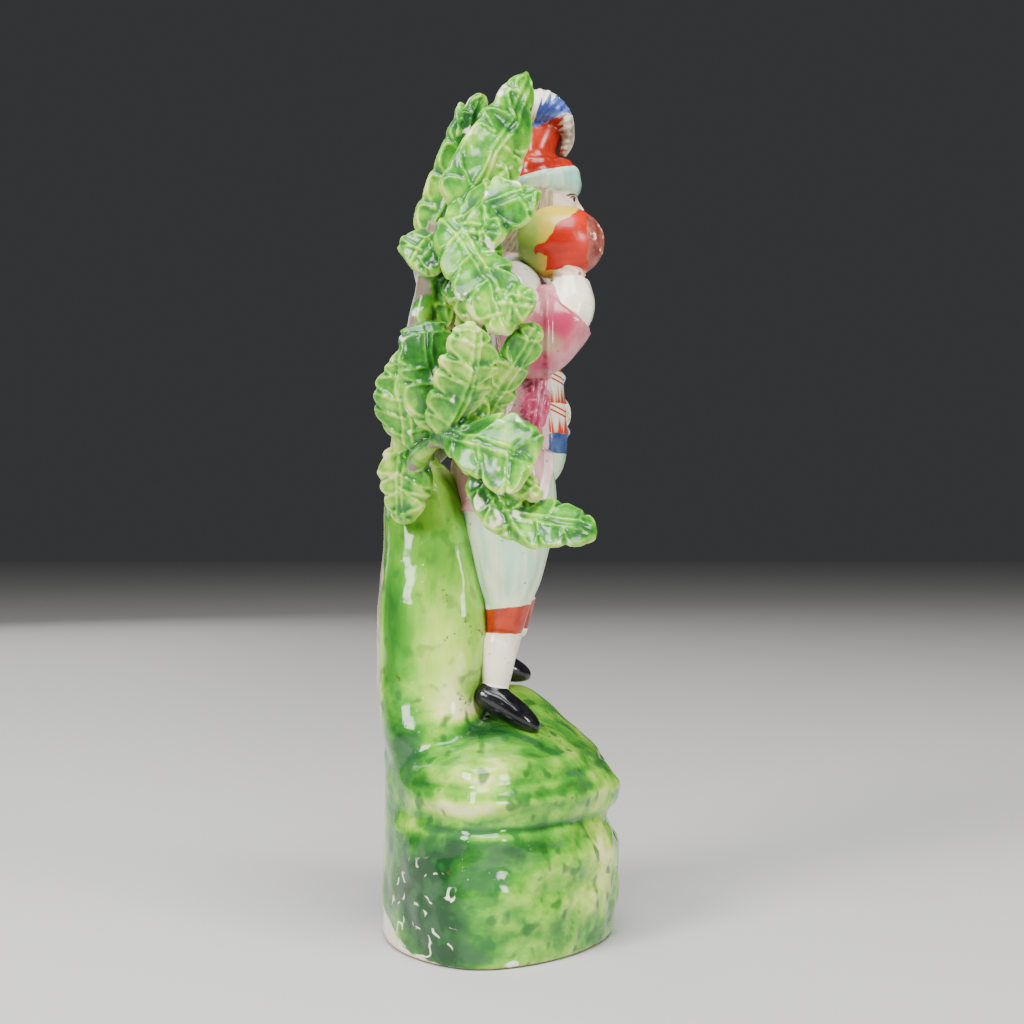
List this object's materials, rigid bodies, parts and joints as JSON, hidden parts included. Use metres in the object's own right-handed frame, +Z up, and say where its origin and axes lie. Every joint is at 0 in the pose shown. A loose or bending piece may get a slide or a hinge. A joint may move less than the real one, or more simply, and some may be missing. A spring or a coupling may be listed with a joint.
{
  "type": "bocage figure ornament",
  "caption": "Glazed pearlware ornament: a standing figure in coat and plumed hat, before a tree stump and sprays of oak leaves on a green rocky mound.",
  "frame": {"origin": "middle of the mound's flat underside", "axes": "+Z up along the figure, -Y the way the figure looks, -X towards the figure's right hand"},
  "size_m": [0.0824, 0.049, 0.1695],
  "materials": {
    "glazed_pearlware": "Glossy lead glaze over mottled copper green, cream body and painted enamels in pink, pale turquoise, iron red, orange, blue and black."
  },
  "bodies": {
    "root": {"bocage_figure": "glazed_pearlware"}
  },
  "joints": []
}
